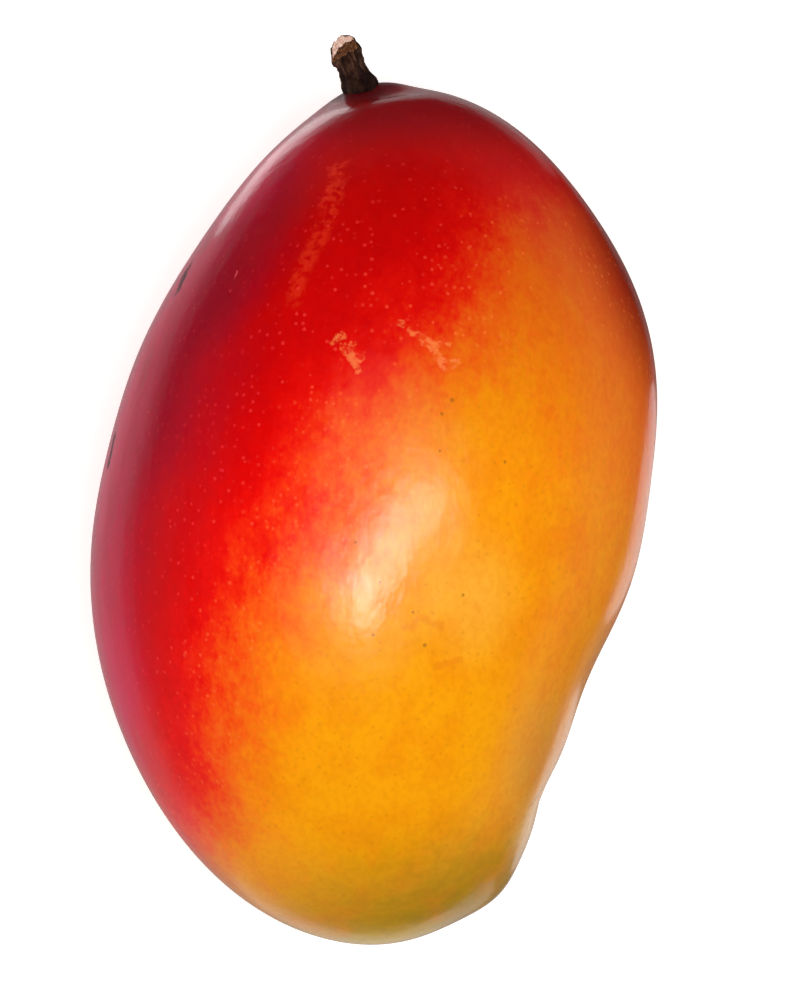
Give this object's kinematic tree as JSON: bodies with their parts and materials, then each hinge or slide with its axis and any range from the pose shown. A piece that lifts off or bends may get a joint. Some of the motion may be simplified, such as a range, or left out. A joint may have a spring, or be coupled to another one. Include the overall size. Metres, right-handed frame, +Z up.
{
  "type": "mango",
  "caption": "Whole ripe mango with a dry stub of its stalk, lying on one cheek; red, orange and yellow skin.",
  "frame": {"origin": "on the surface that the fruit rests on, under the middle of its bounding box", "axes": "+Y along the fruit towards its stem end, +X towards its beak side, +Z up from the resting spot to the crown of the upper cheek"},
  "size_m": [0.0852, 0.1368, 0.0764],
  "materials": {
    "skin": "satin, waxy",
    "bark": "rough"
  },
  "bodies": {
    "root": {"fruit": "skin", "stem": "bark"}
  },
  "joints": []
}
